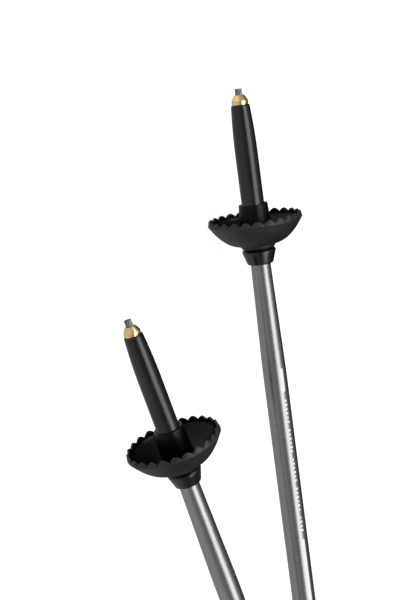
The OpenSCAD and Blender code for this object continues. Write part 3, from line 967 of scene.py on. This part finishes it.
def strap(side):
    """Webbing loop with a sewn lap outside the head: the end layer, its stitched box and a cross."""
    route = Route(side)
    numbers, lengths = stations(route, 0.0, ROUTE_END + 1, 1.6)
    numbers, lengths = numbers[:-1], lengths[:-1]
    ring = flat_section(STRAP_W, -STRAP_T / 2, STRAP_T / 2)
    verts, faces, uvs = band_mesh(route, numbers, lengths, lambda i, s: ring, True)
    obj = add_object("webbing", verts, faces, side, "handle", "webbing", 50, uvs)
    stands_for(obj, side, "strap")
    numbers, lengths = stations(route, LAP_FROM, LAP_TO, 1.6)
    lap_t = 1.2
    lap = flat_section(STRAP_W - 0.4, STRAP_T / 2 - 0.05, STRAP_T / 2 + lap_t)
    verts, faces, uvs = band_mesh(route, numbers, lengths, lambda i, s: lap, False)
    obj = add_object("webbing_lap", verts, faces, side, "handle", "webbing", 50, uvs)
    threads = Mesh()
    top = STRAP_T / 2 + lap_t
    inset = 0.35
    start, end = LAP_FROM + inset, LAP_TO - inset
    reach = STRAP_W / 2 - 2.6
    for line in (-reach, reach, lambda i: reach * (2 * (i - start) / (end - start) - 1),
                 lambda i: -reach * (2 * (i - start) / (end - start) - 1)):
        run_of_stitches(threads, route, start, end, line, top)
    for i in (start, end):
        up = Vector(route.point(i, 0, top + 1)) - Vector(route.point(i, 0, top))
        for k in range(5):
            a = -reach + 2 * reach * (k + 0.12) / 5
            stitch(threads, route.point(i, a, top), route.point(i, a + 2 * reach * 0.76 / 5, top), up)
    for across in (-STRAP_W / 2 + 1.6, STRAP_W / 2 - 1.6):
        run_of_stitches(threads, route, PAD_FROM + 0.8, PAD_TO - 0.8, across, STRAP_T / 2)
    obj = add_object("strap_stitching", threads.verts, threads.faces, side, "handle", "thread", 60)


def wrist_pad(side):
    """Padded wrist section: crowned between two sewn channels, pinched to a bound edge, round at both ends."""
    route = Route(side)
    numbers, lengths = stations(route, PAD_FROM + 0.05, PAD_TO - 0.05, 1.3)
    outer = -STRAP_T / 2 - PAD_GAP
    half = PAD_W / 2 - 0.9
    channel = 9.4
    columns = 26
    total = lengths[-1]

    def width(share):
        """Half width at a share of the length: rounded at both ends."""
        end = min(share, 1 - share) * total
        corner = 9.0
        if end >= corner:
            return half
        return half - corner + math.sqrt(max(0.0, corner**2 - (corner - end) ** 2))

    def section(i, share):
        w = max(width(share), 3.0)
        end = min(share, 1 - share) * total
        full = smooth_step(0.0, 7.0, end)
        puff, back = [], []
        for k in range(columns + 1):
            x = w * (2 * k / columns - 1)
            away = abs(x)
            crown = math.sqrt(max(0.0, 1 - (x / w) ** 2)) ** 0.7
            thick = 0.75 + (PAD_T - 0.95) * full * crown
            thick -= 1.0 * full * math.exp(-((away - channel) / 0.8) ** 2)
            crease = noise.noise(Vector((i * 1.4, x * 0.09, 3.0 if side == "right" else 9.0)))
            thick += 0.28 * full * crown * crease
            puff.append((x, outer - max(0.5, min(PAD_T - 0.02, thick)), x))
            back.append((x, outer, x))
        return back + puff[::-1]

    verts, faces, uvs = band_mesh(route, numbers, lengths, section, False)
    obj = add_object("wrist_padding", verts, faces, side, "handle", "padding", 60, uvs)
    stands_for(obj, side, "strap_pad")

    binding = Mesh()
    turns = 8
    cord_r = 0.72
    for sign in (-1, 1):
        rings = []
        for i, s in zip(numbers, lengths):
            w = max(width(s / total), 3.0)
            rings.append([route.point(i, sign * (w + cord_r * math.cos(2 * math.pi * k / turns)),
                                      outer - cord_r + cord_r * math.sin(2 * math.pi * k / turns))
                          for k in range(turns)])
        binding.rings(rings)
    obj = add_object("pad_binding", binding.verts, binding.faces, side, "handle", "binding", 60)

    threads = Mesh()
    for sign in (-1, 1):
        run_of_stitches(threads, route, PAD_FROM + 2.2, PAD_TO - 2.2, sign * channel, outer - 1.75, outside=False)
    obj = add_object("pad_stitching", threads.verts, threads.faces, side, "handle", "thread", 60)


# ---------------------------------------------------------------- stage

CAMERA_PLACE = Vector((0.520228, 0.418250, 0.871220))
CAMERA_AIM = Vector((0.359114, 0.062864, 0.025))
CAMERA_UP = Vector((0.975058, -0.196553, -0.103097))
IMAGE_HEIGHT = 600
FOCAL_PIXELS = 1614.8
SENSOR_HEIGHT = 24.0


def facing(back, up):
    """Rotation of an object whose local Z is back and whose local Y is as near to up as it can be."""
    z = back.normalized()
    x = up.cross(z).normalized()
    y = z.cross(x)
    return Matrix((x, y, z)).transposed().to_4x4()


def add_camera():
    data = bpy.data.cameras.new("camera")
    data.sensor_fit = "VERTICAL"
    data.sensor_height = SENSOR_HEIGHT
    data.lens = SENSOR_HEIGHT * FOCAL_PIXELS / IMAGE_HEIGHT
    data.clip_start = 0.01
    camera = bpy.data.objects.new("camera", data)
    camera.matrix_world = Matrix.Translation(CAMERA_PLACE) @ facing(CAMERA_PLACE - CAMERA_AIM, CAMERA_UP)
    bpy.context.scene.collection.objects.link(camera)
    bpy.context.scene.camera = camera


add_camera()
VIEW = (CAMERA_PLACE - CAMERA_AIM).normalized()
RIGHT = CAMERA_UP.cross(VIEW).normalized()


def softbox(name, direction, distance, size, length, radiance):
    """Rectangular light that faces the pair's middle; its long side lies along the poles."""
    data = bpy.data.lights.new(name, "AREA")
    data.shape = "RECTANGLE"
    data.size = length
    data.size_y = size
    data.energy = radiance * math.pi * size * length
    light = bpy.data.objects.new(name, data)
    target = Vector((0.15, 0.03, 0.02))
    x_axis = Vector((1, 0, 0))
    z = direction.normalized()
    y = z.cross(x_axis).normalized()
    x = y.cross(z)
    light.matrix_world = Matrix.Translation(target + z * distance) @ Matrix((x, y, z)).transposed().to_4x4()
    bpy.context.scene.collection.objects.link(light)


def towards(angle):
    """Direction that lies the given angle to the camera's right of the line back to the camera."""
    a = math.radians(angle)
    return VIEW * math.cos(a) + RIGHT * math.sin(a)


softbox("key", towards(49), distance=1.6, size=1.1, length=3.0, radiance=3.0)


def add_world():
    """Surroundings lightest on the camera's left and darkest on its right, but lighter again at the far right."""
    world = bpy.data.worlds.new("studio")
    bpy.context.scene.world = world
    world.use_nodes = True
    nodes, links = world.node_tree.nodes, world.node_tree.links
    coords = nodes.new("ShaderNodeTexCoord")

    def share(axis, scale, offset):
        """How far a direction leans to the axis, scaled to 0..1."""
        dot = nodes.new("ShaderNodeVectorMath")
        dot.operation = "DOT_PRODUCT"
        links.new(coords.outputs["Generated"], dot.inputs[0])
        dot.inputs[1].default_value = axis
        scaled = nodes.new("ShaderNodeMath")
        scaled.operation = "MULTIPLY_ADD"
        scaled.use_clamp = True
        scaled.inputs[1].default_value = scale
        scaled.inputs[2].default_value = offset
        links.new(dot.outputs["Value"], scaled.inputs[0])
        return scaled.outputs[0]

    def greys(fac, stops):
        ramp = nodes.new("ShaderNodeValToRGB")
        links.new(fac, ramp.inputs["Fac"])
        elements = ramp.color_ramp.elements
        while len(elements) < len(stops):
            elements.new(0.5)
        for element, (place, value) in zip(elements, stops):
            element.position = place
            element.color = (value, value, value, 1)
        return ramp.outputs["Color"]

    middle_level = 0.6  # lengthwise share at the middle of the view; the strength makes up for it
    leftness = share(-RIGHT, 0.5, 0.5)
    front = greys(leftness, [(0.0, 0.45), (0.08, 0.28), (0.2, 0.13), (0.5, 0.26), (0.68, 0.48), (0.8, 0.56)])
    back = greys(leftness, [(0.0, 0.14), (0.06, 0.08), (0.2, 0.02), (0.48, 0.01), (0.53, 0.40), (0.8, 0.52)])
    mix = nodes.new("ShaderNodeMix")
    mix.data_type = "RGBA"
    links.new(share(VIEW, 2.0, 0.8), mix.inputs[0])
    links.new(back, mix.inputs[6])
    links.new(front, mix.inputs[7])
    lengthwise = nodes.new("ShaderNodeMix")
    lengthwise.data_type = "RGBA"
    lengthwise.blend_type = "MULTIPLY"
    lengthwise.inputs[0].default_value = 1.0
    links.new(mix.outputs[2], lengthwise.inputs[6])
    links.new(greys(share(CAMERA_UP, 0.5, 0.5), [(0.1, 0.75), (0.3, 0.62), (0.5, middle_level), (0.68, 0.68),
                                                         (0.85, 1.0)]),
              lengthwise.inputs[7])
    links.new(lengthwise.outputs[2], nodes["Background"].inputs["Color"])
    nodes["Background"].inputs["Strength"].default_value = 1 / middle_level


add_world()


def add_floor():
    """Pale floor that glows a little, so the shadows on it stay faint."""
    mesh = bpy.data.meshes.new("floor")
    reach = 30.0
    mesh.from_pydata([(-reach, -reach, 0), (reach, -reach, 0), (reach, reach, 0), (-reach, reach, 0)], [],
                     [(0, 1, 2, 3)])
    floor = bpy.data.objects.new("floor", mesh)
    floor.location.z = -0.0002
    s = Shader("floor", (0.3, 0.3, 0.3), 0.9)
    s.set("Specular IOR Level", 0.0)
    s.set("Emission Color", (1, 1, 1, 1))
    s.set("Emission Strength", 0.9)
    mesh.materials.append(s.material)
    bpy.context.scene.collection.objects.link(floor)
    floor.visible_glossy = False
    floor.visible_diffuse = False


add_floor()
bpy.context.scene.view_settings.view_transform = "Standard"

for side in SIDES:
    tip_insert(side)
    tip_collar(side)
    tip_body(side)
    basket(side)
    tubes(side)
    prints(side)
    mouth_collar(side, "middle", "middle_section")
    mouth_collar(side, "upper", "handle")
    grip_ring(side)
    foam_grip(side)
    grip_head(side)
    strap_pin(side)
    strap_wedge(side)
    strap(side)
    wrist_pad(side)
